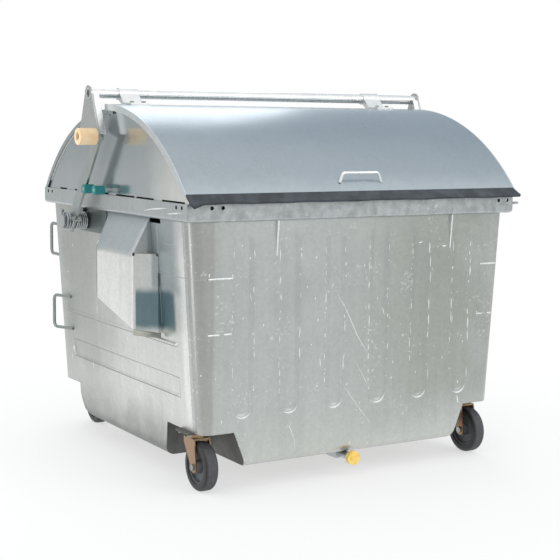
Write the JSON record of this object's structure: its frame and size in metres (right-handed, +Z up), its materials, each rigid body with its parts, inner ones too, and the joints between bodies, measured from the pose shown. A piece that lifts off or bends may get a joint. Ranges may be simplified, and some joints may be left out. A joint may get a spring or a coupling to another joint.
{
  "type": "wheeled waste container",
  "caption": "Wheeled galvanised steel waste container with a tapered ribbed tub, a fixed domed hood and a curved front lid that swings back on spring-assisted arms.",
  "frame": {"origin": "middle of the overall footprint, on the floor", "axes": "+X to the right seen from the front, -Y out of the front where the lid opens, +Z up"},
  "size_m": [1.5172, 1.2786, 1.299],
  "materials": {
    "galvanised_steel": "hot-dip galvanised, matte grey with spangle",
    "rubber_lip": "matte slate grey",
    "spring_steel": "zinc coated wire",
    "teal_plastic": "satin",
    "tan_plastic": "satin cast nylon",
    "yellow_plastic": "satin",
    "bolt_steel": "bright zinc",
    "yellow_zinc": "yellow passivated zinc",
    "wheel_centre": "matte grey",
    "tyre": "matte black"
  },
  "bodies": {
    "container": {"tub_front": "galvanised_steel", "tub_rear": "galvanised_steel", "tub_left": "galvanised_steel", "tub_right": "galvanised_steel", "tub_floor": "galvanised_steel", "front_housings": "galvanised_steel", "rear_housings": "galvanised_steel", "rim_front": "galvanised_steel", "rim_rear": "galvanised_steel", "rim_left": "galvanised_steel", "rim_right": "galvanised_steel", "front_gussets": "galvanised_steel", "rear_hood": "galvanised_steel", "end_plates": "galvanised_steel", "lifting_box_left": "galvanised_steel", "lifting_box_right": "galvanised_steel", "hinge_brackets": "galvanised_steel", "hinge_pins": "galvanised_steel", "upper_grab_handles": "galvanised_steel", "lower_grab_handles": "galvanised_steel", "drain_elbow": "galvanised_steel", "stop_pins": "galvanised_steel", "inner_spring_left": "spring_steel", "inner_spring_right": "spring_steel", "outer_spring_left": "spring_steel", "outer_spring_right": "spring_steel", "stop_sleeves": "teal_plastic", "caster_bolts": "bolt_steel", "caster_plates": "yellow_zinc"},
    "lid": {"lid_panel": "galvanised_steel", "lid_lip": "rubber_lip", "lid_handle": "galvanised_steel", "arm_upper_left": "galvanised_steel", "arm_upper_right": "galvanised_steel", "arm_lower_left": "galvanised_steel", "arm_lower_right": "galvanised_steel", "cross_tube": "galvanised_steel", "tube_clamps": "galvanised_steel", "clamp_bolts": "bolt_steel", "roller_pins": "bolt_steel"},
    "arm_roller_left": {"arm_roller_left": "tan_plastic"},
    "arm_roller_right": {"arm_roller_right": "tan_plastic"},
    "drain_cap": {"drain_cap": "yellow_plastic"},
    "caster_front_left": {"fork_front_left": "yellow_zinc", "axle_front_left": "bolt_steel"},
    "wheel_front_left": {"hub_front_left": "wheel_centre", "tyre_front_left": "tyre"},
    "caster_front_right": {"fork_front_right": "yellow_zinc", "axle_front_right": "bolt_steel"},
    "wheel_front_right": {"hub_front_right": "wheel_centre", "tyre_front_right": "tyre"},
    "caster_rear_left": {"fork_rear_left": "yellow_zinc", "axle_rear_left": "bolt_steel"},
    "wheel_rear_left": {"hub_rear_left": "wheel_centre", "tyre_rear_left": "tyre"},
    "caster_rear_right": {"fork_rear_right": "yellow_zinc", "axle_rear_right": "bolt_steel"},
    "wheel_rear_right": {"hub_rear_right": "wheel_centre", "tyre_rear_right": "tyre"}
  },
  "joints": [
    {"name": "lid_swing", "type": "hinge", "parent": "container", "child": "lid", "pos_m": [0, 0.21829, 0.825], "axis": [-1, 0, 0], "range_deg": [0, 100]},
    {"name": "arm_roller_left_spin", "type": "hinge", "parent": "lid", "child": "arm_roller_left", "pos_m": [-0.7256, -0.02071, 1.126], "axis": [1, 0, 0], "continuous": true},
    {"name": "arm_roller_right_spin", "type": "hinge", "parent": "lid", "child": "arm_roller_right", "pos_m": [0.7256, -0.02071, 1.126], "axis": [1, 0, 0], "continuous": true},
    {"name": "caster_front_left_swivel", "type": "hinge", "parent": "container", "child": "caster_front_left", "pos_m": [-0.542, -0.47871, 0.18], "axis": [0, 0, 1], "continuous": true},
    {"name": "wheel_front_left_spin", "type": "hinge", "parent": "caster_front_left", "child": "wheel_front_left", "pos_m": [-0.542, -0.51071, 0.08], "axis": [1, 0, 0], "continuous": true},
    {"name": "caster_front_right_swivel", "type": "hinge", "parent": "container", "child": "caster_front_right", "pos_m": [0.542, -0.47871, 0.18], "axis": [0, 0, 1], "continuous": true},
    {"name": "wheel_front_right_spin", "type": "hinge", "parent": "caster_front_right", "child": "wheel_front_right", "pos_m": [0.542, -0.51071, 0.08], "axis": [1, 0, 0], "continuous": true},
    {"name": "caster_rear_left_swivel", "type": "hinge", "parent": "container", "child": "caster_rear_left", "pos_m": [-0.446, 0.51729, 0.18], "axis": [0, 0, 1], "continuous": true},
    {"name": "wheel_rear_left_spin", "type": "hinge", "parent": "caster_rear_left", "child": "wheel_rear_left", "pos_m": [-0.446, 0.54929, 0.08], "axis": [1, 0, 0], "continuous": true},
    {"name": "caster_rear_right_swivel", "type": "hinge", "parent": "container", "child": "caster_rear_right", "pos_m": [0.446, 0.51729, 0.18], "axis": [0, 0, 1], "continuous": true},
    {"name": "wheel_rear_right_spin", "type": "hinge", "parent": "caster_rear_right", "child": "wheel_rear_right", "pos_m": [0.446, 0.54929, 0.08], "axis": [1, 0, 0], "continuous": true},
    {"name": "drain_cap_turn", "type": "hinge", "parent": "container", "child": "drain_cap", "pos_m": [-0.016, -0.60271, 0.062], "axis": [0, -1, 0], "range_deg": [0, 720]}
  ]
}
